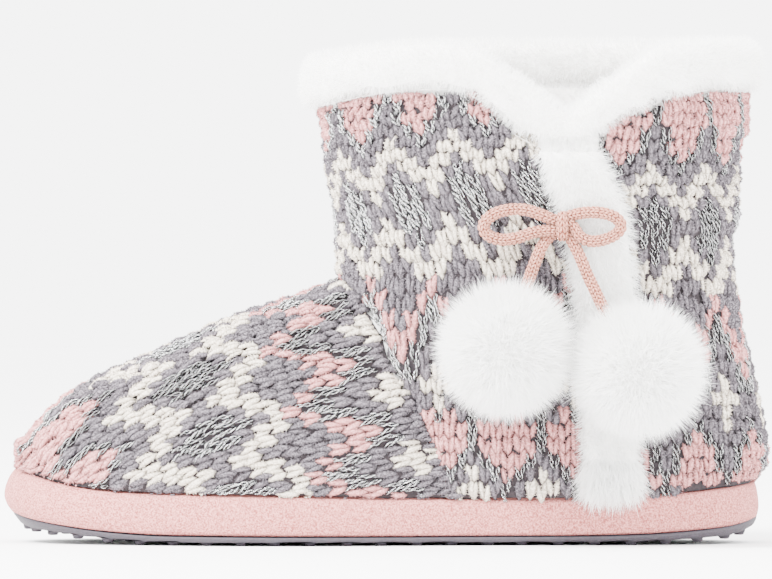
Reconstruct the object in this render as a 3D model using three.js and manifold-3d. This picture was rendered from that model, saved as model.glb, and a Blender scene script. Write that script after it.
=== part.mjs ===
// A left knitted slipper bootie. Millimetres, +Z up, toe towards -X, outer side towards -Y.
// The origin is under the middle of the shoe, on the floor.

import * as THREE from 'three';
import { mergeVertices } from 'three/addons/utils/BufferGeometryUtils.js';
import Module from 'manifold-3d';

const wasm = await Module();
wasm.setup();

// Driving sizes. Heights are above the floor, and lengths run back from the tip of the toe.
const soleLength = 258.5;
const heelOverhang = 3.4;
const ballWidth = 97;
const heelWidth = 74;
const seatHeight = 16.2;
const toeSpring = 8.2;
const outsoleThickness = 2;
const nubHeight = 1;
const nubDiameter = 4.6;
const nubSpacing = 11.5;
const toeLean = 4;
const heelLean = 1.4;
const insoleThickness = 4;
const upperWall = 3;
const instepHeight = 91;
const shaftWidth = 88;
const shaftHeight = 154.5;
const seamStep = 1.6;
const cuffHeight = 174;
const cuffProud = 5.5;
const cuffLining = 4;
const slitWidth = 20.5;
const slitProud = 5;
const slitRound = 0.55;
const lockDepth = 0.7;
const lockLength = 6;
const cordDiameter = 4;
const knotHeight = 10.4;
const knotUp = 108.6;
const knotAhead = 11.3;
const pompomRadius = 22.3;
const pompomCore = 18.4;
const gap = 0.3;
const beyond = 30;

// Outline of the sole: each side's distance from the centre line, in shares of the width there
const toeTip = 0.075;
const outlineRows = [
  { along: 0.010, outer: 0.050, inner: 0.205 },
  { along: 0.030, outer: 0.165, inner: 0.290 },
  { along: 0.070, outer: 0.275, inner: 0.375 },
  { along: 0.130, outer: 0.365, inner: 0.440 },
  { along: 0.210, outer: 0.435, inner: 0.480 },
  { along: 0.300, outer: 0.487, inner: 0.492 },
  { along: 0.380, outer: 0.505, inner: 0.475 },
  { along: 0.500, outer: 0.505, inner: 0.430 },
  { along: 0.620, outer: 0.510, inner: 0.440 },
  { along: 0.750, outer: 0.515, inner: 0.480 },
  { along: 0.860, outer: 0.485, inner: 0.470 },
  { along: 0.930, outer: 0.405, inner: 0.400 },
  { along: 0.975, outer: 0.275, inner: 0.275 },
  { along: 0.994, outer: 0.140, inner: 0.140 },
];

// Side view of the sole: lift in shares of toeSpring, thick of outsoleThickness, seat of seatHeight
const soleRows = [
  { along: 0.000, lift: 1.00, thick: 1.10, seat: 1.62 },
  { along: 0.030, lift: 0.49, thick: 1.70, seat: 1.49 },
  { along: 0.060, lift: 0.33, thick: 1.60, seat: 1.36 },
  { along: 0.090, lift: 0.24, thick: 1.35, seat: 1.25 },
  { along: 0.120, lift: 0.15, thick: 1.25, seat: 1.18 },
  { along: 0.160, lift: 0.06, thick: 1.20, seat: 1.125 },
  { along: 0.210, lift: 0.00, thick: 1.10, seat: 1.10 },
  { along: 0.400, lift: 0.00, thick: 0.95, seat: 1.05 },
  { along: 0.500, lift: 0.00, thick: 0.95, seat: 1.00 },
  { along: 0.760, lift: 0.00, thick: 1.00, seat: 0.995 },
  { along: 0.830, lift: 0.00, thick: 1.20, seat: 1.04 },
  { along: 0.900, lift: 0.08, thick: 1.35, seat: 1.105 },
  { along: 0.950, lift: 0.18, thick: 1.50, seat: 1.20 },
  { along: 0.975, lift: 0.32, thick: 1.50, seat: 1.245 },
  { along: 1.000, lift: 0.66, thick: 1.10, seat: 1.29 },
];

// Side of the band from its foot to its top: up in shares of the band's height there,
// lean in shares of toeLean at the toe and heelLean at the heel
const bandRows = [
  { up: 0.00, lean: 0.75 },
  { up: 0.10, lean: 0.30 },
  { up: 0.28, lean: 0.00 },
  { up: 0.52, lean: 0.12 },
  { up: 0.80, lean: 0.50 },
  { up: 1.00, lean: 1.00 },
];

// Side of the outsole from the tread to the band
const outsoleRows = [
  { up: 0.00, lean: 1.60 },
  { up: 0.45, lean: 0.95 },
  { up: 1.00, lean: 0.80 },
];

// Top line of the foot: crest in shares of instepHeight, past the instep inside the shaft
const crestRows = [
  { along: 0.0155, crest: 0.300 },
  { along: 0.0185, crest: 0.345 },
  { along: 0.0263, crest: 0.386 },
  { along: 0.046, crest: 0.458 },
  { along: 0.072, crest: 0.529 },
  { along: 0.095, crest: 0.578 },
  { along: 0.127, crest: 0.630 },
  { along: 0.160, crest: 0.670 },
  { along: 0.2085, crest: 0.731 },
  { along: 0.264, crest: 0.805 },
  { along: 0.306, crest: 0.855 },
  { along: 0.374, crest: 0.916 },
  { along: 0.416, crest: 0.962 },
  { along: 0.445, crest: 1.000 },
  { along: 0.490, crest: 1.045 },
  { along: 0.560, crest: 1.100 },
  { along: 0.640, crest: 1.145 },
];

// Seam where the vamp is tucked under the shaft, in side view: along in shares of soleLength,
// up in shares of instepHeight
const seamRows = [
  { along: 0.330, up: 1.090 },
  { along: 0.445, up: 0.997 },
  { along: 0.460, up: 0.967 },
  { along: 0.488, up: 0.879 },
  { along: 0.501, up: 0.813 },
  { along: 0.520, up: 0.659 },
  { along: 0.542, up: 0.549 },
  { along: 0.567, up: 0.396 },
  { along: 0.582, up: 0.258 },
  { along: 0.592, up: 0.181 },
  { along: 0.600, up: 0.020 },
];

// Front edge of the leg, above the instep: up in shares of shaftHeight, front of soleLength
const legFrontRows = [
  { up: 0.589, front: 0.445 },
  { up: 0.659, front: 0.440 },
  { up: 0.737, front: 0.438 },
  { up: 0.806, front: 0.428 },
  { up: 0.898, front: 0.423 },
  { up: 0.963, front: 0.414 },
  { up: 1.090, front: 0.410 },
];

// Level rings of the shaft: up in shares of shaftHeight, back in shares of soleLength, widest in
// shares of soleLength, outer and inner in shares of shaftWidth, square is the ring's exponent
const ringRows = [
  { up: 0.060, back: 0.975, widest: 0.590, outer: 0.440, inner: 0.395, square: 2.80 },
  { up: 0.135, back: 0.995, widest: 0.590, outer: 0.458, inner: 0.402, square: 2.80 },
  { up: 0.168, back: 1.010, widest: 0.595, outer: 0.462, inner: 0.408, square: 2.75 },
  { up: 0.200, back: 1.0135, widest: 0.600, outer: 0.462, inner: 0.412, square: 2.70 },
  { up: 0.259, back: 1.0080, widest: 0.610, outer: 0.458, inner: 0.415, square: 2.62 },
  { up: 0.324, back: 1.0000, widest: 0.625, outer: 0.452, inner: 0.420, square: 2.55 },
  { up: 0.390, back: 0.9920, widest: 0.640, outer: 0.450, inner: 0.426, square: 2.48 },
  { up: 0.455, back: 0.9820, widest: 0.655, outer: 0.452, inner: 0.434, square: 2.42 },
  { up: 0.550, back: 0.9715, widest: 0.680, outer: 0.462, inner: 0.449, square: 2.35 },
  { up: 0.576, back: 0.9695, widest: 0.687, outer: 0.466, inner: 0.454, square: 2.33 },
  { up: 0.630, back: 0.9660, widest: 0.697, outer: 0.474, inner: 0.465, square: 2.30 },
  { up: 0.684, back: 0.9650, widest: 0.702, outer: 0.482, inner: 0.475, square: 2.28 },
  { up: 0.703, back: 0.9730, widest: 0.704, outer: 0.484, inner: 0.478, square: 2.27 },
  { up: 0.763, back: 0.9740, widest: 0.705, outer: 0.490, inner: 0.487, square: 2.26 },
  { up: 0.828, back: 0.9750, widest: 0.705, outer: 0.496, inner: 0.494, square: 2.25 },
  { up: 0.890, back: 0.9760, widest: 0.704, outer: 0.500, inner: 0.500, square: 2.25 },
  { up: 0.912, back: 0.9870, widest: 0.703, outer: 0.500, inner: 0.500, square: 2.25 },
  { up: 0.970, back: 0.9870, widest: 0.702, outer: 0.500, inner: 0.500, square: 2.25 },
  { up: 1.090, back: 0.9870, widest: 0.700, outer: 0.500, inner: 0.500, square: 2.25 },
];

// Fur cuff round the top of the leg: along in shares of soleLength, top and foot in shares of
// cuffHeight. The outer side dips in a V over the slit.
const cuffOuterRows = [
  { along: 0.405, top: 0.966, foot: 0.855 },
  { along: 0.418, top: 0.968, foot: 0.857 },
  { along: 0.436, top: 0.973, foot: 0.862 },
  { along: 0.465, top: 0.982, foot: 0.872 },
  { along: 0.505, top: 0.989, foot: 0.883 },
  { along: 0.555, top: 0.999, foot: 0.888 },
  { along: 0.600, top: 0.995, foot: 0.888 },
  { along: 0.630, top: 0.988, foot: 0.866 },
  { along: 0.652, top: 0.962, foot: 0.842 },
  { along: 0.672, top: 0.938, foot: 0.800 },
  { along: 0.696, top: 0.921, foot: 0.780 },
  { along: 0.718, top: 0.890, foot: 0.776 },
  { along: 0.735, top: 0.862, foot: 0.776 },
  { along: 0.746, top: 0.855, foot: 0.776 },
  { along: 0.760, top: 0.880, foot: 0.778 },
  { along: 0.778, top: 0.903, foot: 0.784 },
  { along: 0.798, top: 0.922, foot: 0.803 },
  { along: 0.818, top: 0.944, foot: 0.826 },
  { along: 0.838, top: 0.968, foot: 0.846 },
  { along: 0.860, top: 0.993, foot: 0.860 },
  { along: 0.890, top: 1.000, foot: 0.876 },
  { along: 0.925, top: 1.000, foot: 0.886 },
  { along: 0.958, top: 0.998, foot: 0.890 },
  { along: 0.980, top: 0.997, foot: 0.889 },
  { along: 0.987, top: 0.996, foot: 0.888 },
];
const cuffInnerRows = [
  { along: 0.405, top: 0.966, foot: 0.855 },
  { along: 0.450, top: 0.978, foot: 0.868 },
  { along: 0.520, top: 0.992, foot: 0.884 },
  { along: 0.620, top: 1.000, foot: 0.888 },
  { along: 0.930, top: 1.000, foot: 0.889 },
  { along: 0.987, top: 0.996, foot: 0.888 },
];

// Fur strip in the slit, on the outer side: up in shares of its height from the sole to the cuff,
// middle in shares of soleLength, width in shares of slitWidth
const slitRows = [
  { up: 0.000, middle: 0.8020, width: 0.90 },
  { up: 0.090, middle: 0.8020, width: 0.93 },
  { up: 0.250, middle: 0.8010, width: 0.96 },
  { up: 0.405, middle: 0.7985, width: 1.00 },
  { up: 0.550, middle: 0.7940, width: 1.04 },
  { up: 0.655, middle: 0.7890, width: 1.08 },
  { up: 0.750, middle: 0.7830, width: 1.10 },
  { up: 0.840, middle: 0.7760, width: 1.12 },
  { up: 0.905, middle: 0.7610, width: 1.13 },
  { up: 0.955, middle: 0.7520, width: 1.06 },
  { up: 1.000, middle: 0.7440, width: 1.10 },
];

// The cord bow, in millimetres from the middle of the knot: towards the heel, up and out
const loopLeft = [
  [-3.8, 2.3, 0], [-8, 4.4, 0.4], [-14, 5.9, 0.8], [-20.2, 5.4, 0.8], [-24.9, 3.0, 0.4],
  [-26.5, -0.2, 0], [-24.7, -3.3, -0.2], [-20.3, -4.7, 0], [-14.6, -4.3, 0.4], [-8.4, -3.0, 0.4],
  [-3.8, -2.3, 0],
];
const loopRight = [
  [3.8, 2.3, 0.2], [8, 4.3, 1.2], [13, 4.6, 1.9], [17.4, 3.2, 1.9], [19.6, 0.1, 1.7],
  [17.8, -3.0, 1.5], [13.2, -4.6, 1.5], [8.2, -4.0, 1.0], [3.8, -2.3, 0.2],
];
const tailLeft = [
  [-2.5, -6.3, 0.2], [-6, -8.6, 0.8], [-9, -12.2, 1.6], [-11, -17, 3.0], [-13, -23, 5.6],
  [-15.4, -29, 8.2], [-17, -33, 9.8],
];
const tailRight = [
  [2.5, -6.3, 0.2], [4.6, -10, 0.6], [7.4, -16, 1.6], [10.6, -22.6, 3.6], [14, -29, 6.4],
  [17, -34.6, 9],
];
const pompomLeftPlace = [-20.1, -41.8];
const pompomRightPlace = [24.6, -48.6];

const soleStations = 24;
const footStations = [
  0.0156, 0.020, 0.028, 0.042, 0.062, 0.088, 0.122, 0.165, 0.215, 0.270, 0.325, 0.375, 0.420,
  0.450, 0.500, 0.560, 0.630,
];
const archSteps = 16;
const ringSteps = 28;
const cuffSteps = 8;
const slitSteps = 6;
const cordSides = 8;
const footSquare = 2.25;
const skirtDrop = 12;
const sideReach = 150;

// A smooth curve through one column of a table, without overshoot
function column(rows, from, to) {
  const xs = rows.map((row) => row[from]);
  const ys = rows.map((row) => row[to]);
  const slopes = xs.slice(1).map((x, i) => (ys[i + 1] - ys[i]) / (x - xs[i]));
  const tangents = xs.map((x, i) => {
    const before = slopes[Math.max(i - 1, 0)];
    const after = slopes[Math.min(i, slopes.length - 1)];
    return before * after <= 0 ? 0 : (2 * before * after) / (before + after);
  });
  return (x) => {
    if (x <= xs[0]) return ys[0];
    if (x >= xs[xs.length - 1]) return ys[ys.length - 1];
    const i = xs.findIndex((limit, k) => k > 0 && x <= limit) - 1;
    const span = xs[i + 1] - xs[i];
    const t = (x - xs[i]) / span;
    const start = (1 + 2 * t) * (1 - t) ** 2 * ys[i] + t * (1 - t) ** 2 * span * tangents[i];
    const end = t * t * (3 - 2 * t) * ys[i + 1] - t * t * (1 - t) * span * tangents[i + 1];
    return start + end;
  };
}

const mix = THREE.MathUtils.lerp;
const signedPower = (value, power) => Math.sign(value) * Math.abs(value) ** power;

// Solids from geometry and back
function solidOf(geometry) {
  const bare = geometry.clone();
  bare.deleteAttribute('normal');
  bare.deleteAttribute('uv');
  const merged = mergeVertices(bare, 1e-4);
  return new wasm.Manifold(
    new wasm.Mesh({
      numProp: 3,
      vertProperties: new Float32Array(merged.attributes.position.array),
      triVerts: new Uint32Array(merged.index.array),
    }),
  );
}

function geometryOf(solid) {
  const mesh = solid.getMesh();
  const geometry = new THREE.BufferGeometry();
  const points = new Float32Array(mesh.numVert * 3);
  for (let i = 0; i < mesh.numVert; i += 1) {
    points.set(mesh.vertProperties.subarray(i * mesh.numProp, i * mesh.numProp + 3), i * 3);
  }
  geometry.setAttribute('position', new THREE.BufferAttribute(points, 3));
  geometry.setIndex(new THREE.BufferAttribute(new Uint32Array(mesh.triVerts), 1));
  return geometry;
}

// The largest body of a cut, without slivers where two forms graze each other
function largestBody(solid) {
  return solid.decompose().reduce((best, body) => (body.volume() > best.volume() ? body : best));
}

// A closed skin over rings of equally many points: a hoop whose last ring joins the first, or
// a length whose two ends are closed by ladders across the ring
function loft(rings, hoop = false) {
  const count = rings[0].length;
  const half = hoop ? 0 : count / 2;
  const index = [];
  for (let r = 0; r + (hoop ? 0 : 1) < rings.length; r += 1) {
    for (let i = 0; i < count; i += 1) {
      const [start, end] = [r * count, ((r + 1) % rings.length) * count];
      const next = (i + 1) % count;
      index.push(start + i, start + next, end + next, start + i, end + next, end + i);
    }
  }
  const last = (rings.length - 1) * count;
  for (let k = 0; k < half; k += 1) {
    const across = [k, k + 1, (count - k - 1) % count, (count - k) % count];
    const steps = [[0, 2, 1], [0, 3, 2]];
    for (const [p, q, r] of steps) {
      const corner = [across[p], across[q], across[r]];
      if (new Set(corner).size < 3) continue;
      index.push(...corner);
      index.push(last + corner[0], last + corner[2], last + corner[1]);
    }
  }
  const geometry = new THREE.BufferGeometry();
  const points = rings.flat().flatMap((point) => [point.x, point.y, point.z]);
  geometry.setAttribute('position', new THREE.Float32BufferAttribute(points, 3));
  geometry.setIndex(index);
  return facingOut(geometry);
}

// The same geometry with its faces turned outwards
function facingOut(geometry) {
  const { position } = geometry.attributes;
  const index = Array.from(geometry.index.array);
  const corner = (i) => new THREE.Vector3().fromBufferAttribute(position, index[i]);
  let volume = 0;
  for (let i = 0; i < index.length; i += 3) {
    volume += corner(i).dot(corner(i + 1).cross(corner(i + 2)));
  }
  if (volume < 0) {
    for (let i = 0; i < index.length; i += 3) {
      [index[i + 1], index[i + 2]] = [index[i + 2], index[i + 1]];
    }
    geometry.setIndex(index);
  }
  return geometry;
}

// A prism across the shoe from an outline in side view
function sidePrism(outline, from = -sideReach, to = sideReach) {
  const shape = new THREE.Shape(outline.map(([x, z]) => new THREE.Vector2(x, z)));
  const geometry = new THREE.ExtrudeGeometry(shape, { depth: to - from, bevelEnabled: false });
  geometry.rotateX(Math.PI / 2);
  geometry.translate(0, to, 0);
  return solidOf(geometry);
}

// Sole: outline, heights and levels
const widthAt = (along) => mix(ballWidth, heelWidth, THREE.MathUtils.smoothstep(along, 0.36, 0.72));

function outlineCurve() {
  const points = [new THREE.Vector3(0, toeTip * ballWidth, 0)];
  for (const row of outlineRows) {
    points.push(new THREE.Vector3(row.along * soleLength, -row.outer * widthAt(row.along), 0));
  }
  points.push(new THREE.Vector3(soleLength, 0, 0));
  for (const row of [...outlineRows].reverse()) {
    points.push(new THREE.Vector3(row.along * soleLength, row.inner * widthAt(row.along), 0));
  }
  return new THREE.CatmullRomCurve3(points, true, 'centripetal');
}

const outline = outlineCurve().getPoints(900).slice(0, -1);
const heelIndex = outline.reduce((best, point, i) => (point.x > outline[best].x ? i : best), 0);
const leanAt = (along) => mix(toeLean, heelLean, THREE.MathUtils.smoothstep(along, 0.02, 0.3));

// The outline moved inwards by a share of the band's lean and by a distance
function insetOutline(lean, distance = 0) {
  return outline.map((point, i) => {
    const before = outline[(i + outline.length - 1) % outline.length];
    const after = outline[(i + 1) % outline.length];
    const inwards = new THREE.Vector3(before.y - after.y, after.x - before.x, 0).normalize();
    const depth = lean * leanAt(point.x / soleLength) + distance;
    return point.clone().addScaledVector(inwards, depth);
  });
}

// Where a line round the sole passes a length, on the outer side (-1) or the inner side (1)
function edgeAt(line, x, side) {
  const outer = line.slice(0, heelIndex + 1);
  const inner = [...line.slice(heelIndex), line[0]].reverse();
  const half = side < 0 ? outer : inner;
  const next = half.findIndex((point) => point.x >= x);
  if (next === 0) return half[0].y;
  if (next < 0) return half[half.length - 1].y;
  const [from, to] = [half[next - 1], half[next]];
  return mix(from.y, to.y, (x - from.x) / (to.x - from.x));
}

const liftAt = column(soleRows, 'along', 'lift');
const thickAt = column(soleRows, 'along', 'thick');
const seatShareAt = column(soleRows, 'along', 'seat');
const treadAt = (x) => nubHeight + toeSpring * liftAt(x / soleLength);
const weltAt = (x) => treadAt(x) + outsoleThickness * thickAt(x / soleLength);
const seatAt = (x) => seatHeight * seatShareAt(x / soleLength);

// One level of the sole: stations from toe to heel on the outer side and back on the inner side
function soleRing(lean, height) {
  const line = insetOutline(lean);
  const [tip, heel] = [line[0], line[heelIndex]];
  const stations = [];
  for (let k = 1; k < soleStations; k += 1) {
    const share = (1 - Math.cos((Math.PI * k) / soleStations)) / 2;
    stations.push(mix(tip.x, heel.x, share));
  }
  const outer = stations.map((x) => new THREE.Vector3(x, edgeAt(line, x, -1), height(x)));
  const inner = stations.map((x) => new THREE.Vector3(x, edgeAt(line, x, 1), height(x)));
  const end = (point) => new THREE.Vector3(point.x, point.y, height(point.x));
  return [end(tip), ...outer, end(heel), ...inner.reverse()];
}

function makeMidsole() {
  const rings = bandRows.map(({ up, lean }) => soleRing(
    lean,
    (x) => mix(weltAt(x) + gap, seatAt(x), up),
  ));
  return solidOf(loft(rings));
}

function makeOutsole() {
  const rings = outsoleRows.map(({ up, lean }) => soleRing(
    lean,
    (x) => mix(treadAt(x), weltAt(x), up),
  ));
  let solid = solidOf(loft(rings));
  for (const nub of nubPlaces()) {
    const foot = treadAt(nub.x) - nubHeight;
    const shape = new THREE.CylinderGeometry(nubDiameter * 0.42, nubDiameter * 0.5, 1, 6);
    shape.rotateX(-Math.PI / 2);
    shape.scale(1, 1, nubHeight * 1.6);
    shape.translate(nub.x, nub.y, foot + nubHeight * 0.8);
    solid = solid.add(solidOf(shape));
  }
  return solid;
}

// Round nubs: one row along the edge and a staggered field inside it
function nubPlaces() {
  const edgeInset = nubDiameter * 1.15;
  const places = [];
  const edge = insetOutline(1, edgeInset);
  let walked = nubSpacing;
  edge.forEach((point, i) => {
    walked += point.distanceTo(edge[(i + edge.length - 1) % edge.length]);
    const clear = places.every((other) => other.distanceTo(point) > nubSpacing * 0.8);
    if (walked >= nubSpacing && clear) {
      places.push(point);
      walked = 0;
    }
  });
  const fieldStep = nubSpacing * 1.9;
  const filesToSide = 3;
  for (let rank = 1; rank * fieldStep < soleLength; rank += 1) {
    const x = rank * fieldStep;
    for (let file = -filesToSide; file <= filesToSide; file += 1) {
      const point = new THREE.Vector3(x, (file + (rank % 2) / 2) * fieldStep, 0);
      const inside = point.y > edgeAt(outline, x, -1) + fieldStep
        && point.y < edgeAt(outline, x, 1) - fieldStep;
      const clear = edge.every((other) => other.distanceTo(point) > nubSpacing * 0.8);
      if (inside && clear) places.push(point);
    }
  }
  return places;
}

// Foot form: upright arches across the foot, from the seat on one side to the seat on the other
const crestAt = column(crestRows, 'along', 'crest');
const seatEdge = insetOutline(1);

function footSection(along) {
  const x = along * soleLength;
  const outer = edgeAt(seatEdge, x, -1);
  const inner = edgeAt(seatEdge, x, 1);
  return {
    x,
    middle: (outer + inner) / 2,
    half: (inner - outer) / 2,
    seat: seatAt(x),
    crest: instepHeight * crestAt(along),
  };
}

function footPoint(along, turn) {
  const { x, middle, half, seat, crest } = footSection(along);
  return new THREE.Vector3(
    x,
    middle - half * signedPower(Math.cos(turn), 2 / footSquare),
    seat + (crest - seat) * signedPower(Math.sin(turn), 2 / footSquare),
  );
}

// Distance from the centre line to the foot's side at a height
function footReach(along, z, side) {
  const { middle, half, seat, crest } = footSection(along);
  const rise = THREE.MathUtils.clamp((z - seat) / (crest - seat), 0, 1);
  return side * middle + half * (1 - rise ** footSquare) ** (1 / footSquare);
}

// A point moved inwards along the normal of the surface that it lies on
function inset(surface, u, v, du, dv, depth) {
  const alongU = surface(u + du, v).sub(surface(u - du, v));
  const alongV = surface(u, v + dv).sub(surface(u, v - dv));
  return surface(u, v).addScaledVector(alongU.cross(alongV).normalize(), -depth);
}

function footForm(depth) {
  const rings = footStations.map((along) => {
    const arch = [];
    for (let k = 0; k <= archSteps; k += 1) {
      const turn = (Math.PI * k) / archSteps;
      arch.push(inset(footPoint, along, turn, 0.0006, 0.01, depth));
    }
    const skirt = [arch[0], arch[archSteps]].map((point) => {
      const low = point.clone();
      low.z -= skirtDrop;
      return low;
    });
    return [...arch, skirt[1], skirt[0]];
  });
  return rings;
}

// Shaft form: level rings. Below the instep a ring's front is the curve that runs on into the foot.
const seamAlongAt = column([...seamRows].reverse(), 'up', 'along');
const legFrontAt = column(legFrontRows, 'up', 'front');
const ringColumns = Object.fromEntries(
  ['back', 'widest', 'outer', 'inner', 'square'].map((name) => [name, column(ringRows, 'up', name)]),
);
const steepestFront = 0.15;

function ringSection(z) {
  const up = z / shaftHeight;
  const ring = Object.fromEntries(
    Object.entries(ringColumns).map(([name, at]) => [name, at(up)]),
  );
  const widest = ring.widest * soleLength;
  const fronts = [];
  for (const [side, share] of [[-1, ring.outer], [1, ring.inner]]) {
    if (z >= instepHeight) {
      fronts.push(soleLength * legFrontAt(up));
    } else {
      const along = seamAlongAt(z / instepHeight);
      const reach = Math.min((footReach(along, z, side) + seamStep) / (share * shaftWidth), 0.985);
      const turn = (1 - reach ** ring.square) ** (1 / ring.square);
      const front = widest - (widest - along * soleLength) / turn;
      fronts.push(Math.max(front, steepestFront * soleLength));
    }
  }
  return { ring, widest, front: { outer: fronts[0], inner: fronts[1] } };
}

function shaftPoint(z, turn) {
  const { ring, widest, front } = ringSection(z);
  const [c, s] = [Math.cos(turn), Math.sin(turn)];
  const outer = s >= 0;
  const apex = mix(front.inner, front.outer, 0.5 + 0.5 * signedPower(s, 0.3));
  const reach = c > 0 ? ring.back * soleLength - widest : widest - apex;
  return new THREE.Vector3(
    widest + reach * signedPower(c, 2 / ring.square),
    -(outer ? ring.outer : ring.inner) * shaftWidth * signedPower(s, 2 / ring.square),
    z,
  );
}

function shaftForm(depth) {
  return ringRows.map(({ up }) => {
    const ring = [];
    for (let k = 0; k < ringSteps; k += 1) {
      const turn = (2 * Math.PI * k) / ringSteps;
      ring.push(inset(shaftPoint, up * shaftHeight, turn, 0.4, 0.01, depth));
    }
    return ring;
  });
}

function seamLine(shift) {
  return seamRows.map(({ along, up }) => [along * soleLength + shift, up * instepHeight]);
}

function seatLine(lift) {
  return soleRows.map(({ along }) => [along * soleLength, seatAt(along * soleLength) + lift]);
}

const pastHeel = soleLength + beyond;
const belowSeat = sidePrism([
  [-beyond, seatAt(0) + gap], ...seatLine(gap), [pastHeel, seatAt(soleLength) + gap],
  [pastHeel, -beyond], [-beyond, -beyond],
]);

function hollow(depth) {
  return solidOf(loft(footForm(depth))).add(solidOf(loft(shaftForm(depth))));
}

const highShaft = cuffHeight + beyond;
const seamTop = seamRows[0];
const seamFoot = seamRows[seamRows.length - 1];
const beforeSeam = sidePrism([
  [-beyond, -beyond], [seamFoot.along * soleLength - gap / 2, -beyond],
  ...seamLine(-gap / 2).reverse(), [-beyond, seamTop.up * instepHeight],
]);
const behindSeam = sidePrism([
  [pastHeel, -beyond], [pastHeel, highShaft],
  [seamTop.along * soleLength + gap / 2, highShaft], ...seamLine(gap / 2),
  [seamFoot.along * soleLength + gap / 2, -beyond],
]);

const lastForm = hollow(upperWall);

function makeVamp() {
  const shell = solidOf(loft(footForm(0))).subtract(lastForm).subtract(belowSeat);
  return largestBody(shell.intersect(beforeSeam));
}

function makeShaft() {
  const shell = solidOf(loft(shaftForm(0))).subtract(lastForm).subtract(belowSeat);
  const trimmed = shell.intersect(behindSeam).subtract(aboveCuffMiddle());
  return largestBody(trimmed.subtract(cuffForm(gap)).subtract(slitForm(gap)));
}

function makeInsole() {
  const slab = sidePrism([...seatLine(gap), ...seatLine(gap + insoleThickness).reverse()]);
  return hollow(upperWall + gap).intersect(slab);
}

// The turn at which the shaft's ring at a height passes a length, on the outer or the inner side
function turnAt(x, z, side) {
  const { ring, widest, front } = ringSection(z);
  const reach = x > widest ? ring.back * soleLength - widest : widest - mix(front.inner, front.outer, 0.5);
  const share = THREE.MathUtils.clamp((x - widest) / reach, -1, 1);
  const turn = Math.acos(signedPower(share, ring.square / 2));
  return side < 0 ? turn : 2 * Math.PI - turn;
}

// A point off the knit's outer surface: out is positive away from the leg
const offKnit = (z, turn, out) => inset(shaftPoint, z, turn, 0.4, 0.01, -out);

// Fur cuff
function cuffStations() {
  const outerTop = column(cuffOuterRows, 'along', 'top');
  const outerFoot = column(cuffOuterRows, 'along', 'foot');
  const innerTop = column(cuffInnerRows, 'along', 'top');
  const innerFoot = column(cuffInnerRows, 'along', 'foot');
  const count = cuffOuterRows.length - 1;
  const stations = [...cuffOuterRows].reverse().map(({ along }, i) => {
    let turn = turnAt(along * soleLength, shaftHeight, -1);
    if (i === 0) turn = 0;
    if (i === count) turn = Math.PI;
    return { turn, top: cuffHeight * outerTop(along), foot: cuffHeight * outerFoot(along) };
  });
  for (let k = 1; k < count; k += 1) {
    const turn = Math.PI + (Math.PI * k) / count;
    const along = shaftPoint(shaftHeight, turn).x / soleLength;
    stations.push({
      turn, top: cuffHeight * innerTop(along), foot: cuffHeight * innerFoot(along),
    });
  }
  return stations;
}

const cuffRing = cuffStations();

function cuffForm(margin, locks = 0) {
  const thickness = cuffProud + upperWall + cuffLining;
  const rings = cuffRing.map(({ turn, top, foot }, i) => {
    const ring = [];
    for (let k = 0; k < cuffSteps; k += 1) {
      const angle = (2 * Math.PI * k) / cuffSteps;
      const lock = locks * ((i + k) % 2 ? 0 : -1);
      const out = (thickness / 2 + margin + lock) * signedPower(Math.cos(angle), 0.85);
      const rise = ((top - foot) / 2 + margin + lock) * signedPower(Math.sin(angle), 0.85);
      ring.push(offKnit((top + foot) / 2 + rise, turn, cuffProud - thickness / 2 + out));
    }
    return ring;
  });
  return solidOf(loft(rings, true));
}

function aboveCuffMiddle() {
  const level = (height) => cuffRing.map(({ turn, top, foot }) => {
    const point = offKnit(shaftHeight, turn, 2 * cuffProud);
    point.z = height ?? (top + foot) / 2;
    return point;
  });
  return solidOf(loft([level(), level(highShaft + beyond)]));
}

// A pointed lock of fur, from its root along a direction
function lock(root, direction, radius, length) {
  const cone = new THREE.ConeGeometry(radius, length, 5, 1);
  cone.translate(0, length / 2, 0);
  const up = new THREE.Vector3(0, 1, 0);
  cone.applyQuaternion(new THREE.Quaternion().setFromUnitVectors(up, direction.clone().normalize()));
  cone.translate(root.x, root.y, root.z);
  return solidOf(cone);
}

function makeCuff() {
  let solid = cuffForm(0, lockDepth);
  const radius = lockLength * 0.75;
  cuffRing.forEach(({ turn, foot }, i) => {
    const x = shaftPoint(shaftHeight, turn).x;
    const overSlit = turn < Math.PI && Math.abs(x - slitMiddleAt(foot)) < slitWidth * 0.85;
    if (i % 2 || overSlit) return;
    const root = offKnit(foot + lockLength * 0.8, turn, cuffProud - radius);
    const tip = offKnit(foot - lockLength * 0.4, turn, cuffProud * 0.82);
    solid = solid.add(lock(root, tip.clone().sub(root), radius, tip.distanceTo(root)));
  });
  return solid;
}

// Fur strip that fills the slit
const slitFoot = seatAt(soleLength * slitRows[0].middle + slitWidth) + gap;
const slitTop = Math.min(...cuffRing.map(({ foot }) => foot)) - gap;
const slitMiddle = column(slitRows, 'up', 'middle');
const slitMiddleAt = (z) => soleLength * slitMiddle((z - slitFoot) / (slitTop - slitFoot));

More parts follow.
